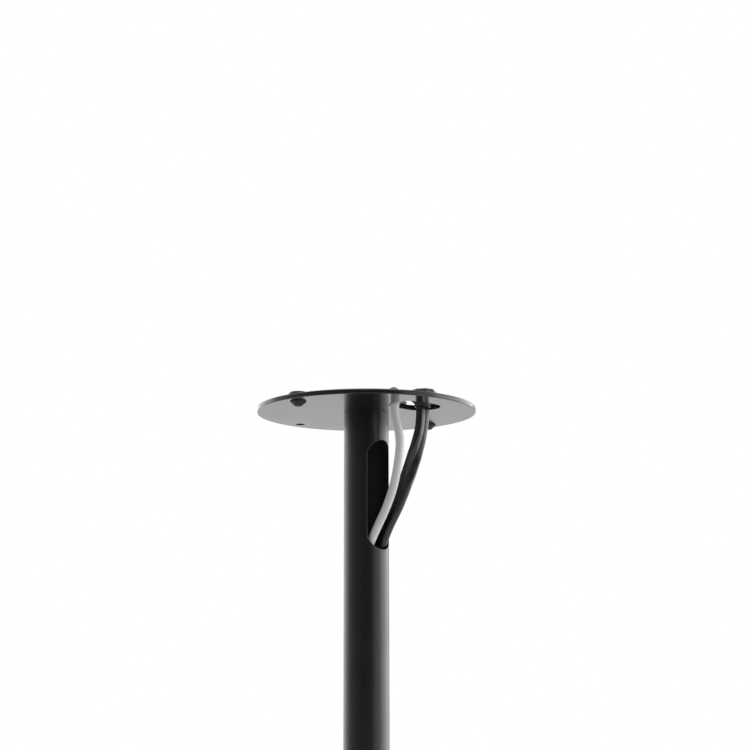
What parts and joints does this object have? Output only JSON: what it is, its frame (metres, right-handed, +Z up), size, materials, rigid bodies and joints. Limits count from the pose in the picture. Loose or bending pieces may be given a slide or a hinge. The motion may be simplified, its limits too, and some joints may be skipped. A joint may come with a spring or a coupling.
{
  "type": "speaker stand",
  "caption": "Slim floor stand for a small loudspeaker: weighted round foot plate on levelling feet, tube pole with cable slots, round top plate with cable hole, two leads.",
  "frame": {"origin": "on the floor, under the pole's axis", "axes": "+Z up the pole; the cable hole and both cable slots face -Y; +X is to the right when they are faced"},
  "size_m": [0.3, 0.3, 0.8582],
  "materials": {
    "plate_paint": "satin black powder coat, fine even texture",
    "pole_paint": "satin black powder coat on round tube",
    "zinc_steel": "bright zinc plate, turned",
    "black_steel": "black oxide screws",
    "plug_metal": "turned aluminium, as machined",
    "buffer_rubber": "moulded black rubber, dull",
    "pad_rubber": "cellular black rubber, fine grain",
    "sole_rubber": "moulded rubber sole, dull",
    "foot_plastic": "moulded black plastic, fine grain",
    "black_lead": "glossy black insulation, two cores side by side",
    "black_plastic": "moulded black plastic, slight sheen",
    "grey_lead": "light grey insulation, slight sheen",
    "grey_plastic": "moulded grey plastic",
    "contact_metal": "nickel-plated contacts",
    "tie_rubber": "soft black strap"
  },
  "bodies": {
    "stand": {"base_bolt": "zinc_steel", "base_key_pin": "zinc_steel", "base_plate": "plate_paint", "base_washer": "zinc_steel", "mains_coil_tie": "tie_rubber", "mains_connector": "black_plastic", "mains_lead": "black_lead", "mains_lead_coil": "black_lead", "mains_lead_tail": "black_lead", "mains_plug": "black_plastic", "mains_plug_pins": "contact_metal", "mains_plug_relief": "black_plastic", "plate_buffer_left": "buffer_rubber", "plate_buffer_right": "buffer_rubber", "pole": "pole_paint", "pole_foot_plug": "plug_metal", "pole_head_plug": "plug_metal", "signal_coil_tie": "tie_rubber", "signal_jack": "grey_plastic", "signal_jack_tip": "contact_metal", "signal_lead": "grey_lead", "signal_lead_coil": "grey_lead", "signal_lead_tail": "grey_lead", "signal_plug": "grey_plastic", "signal_plug_tip": "contact_metal", "top_pad": "pad_rubber", "top_plate": "plate_paint", "top_plate_screws": "black_steel"},
    "foot_1": {"foot_1_stud": "zinc_steel", "foot_1_disc": "foot_plastic", "foot_1_sole": "sole_rubber"},
    "foot_2": {"foot_2_stud": "zinc_steel", "foot_2_disc": "foot_plastic", "foot_2_sole": "sole_rubber"},
    "foot_3": {"foot_3_stud": "zinc_steel", "foot_3_disc": "foot_plastic", "foot_3_sole": "sole_rubber"},
    "foot_4": {"foot_4_stud": "zinc_steel", "foot_4_disc": "foot_plastic", "foot_4_sole": "sole_rubber"}
  },
  "joints": [
    {"name": "foot_1_screw", "type": "slide", "parent": "stand", "child": "foot_1", "axis": [0, 0, -1], "range_m": [0, 0.004]},
    {"name": "foot_2_screw", "type": "slide", "parent": "stand", "child": "foot_2", "axis": [0, 0, -1], "range_m": [0, 0.004]},
    {"name": "foot_3_screw", "type": "slide", "parent": "stand", "child": "foot_3", "axis": [0, 0, -1], "range_m": [0, 0.004]},
    {"name": "foot_4_screw", "type": "slide", "parent": "stand", "child": "foot_4", "axis": [0, 0, -1], "range_m": [0, 0.004]}
  ]
}
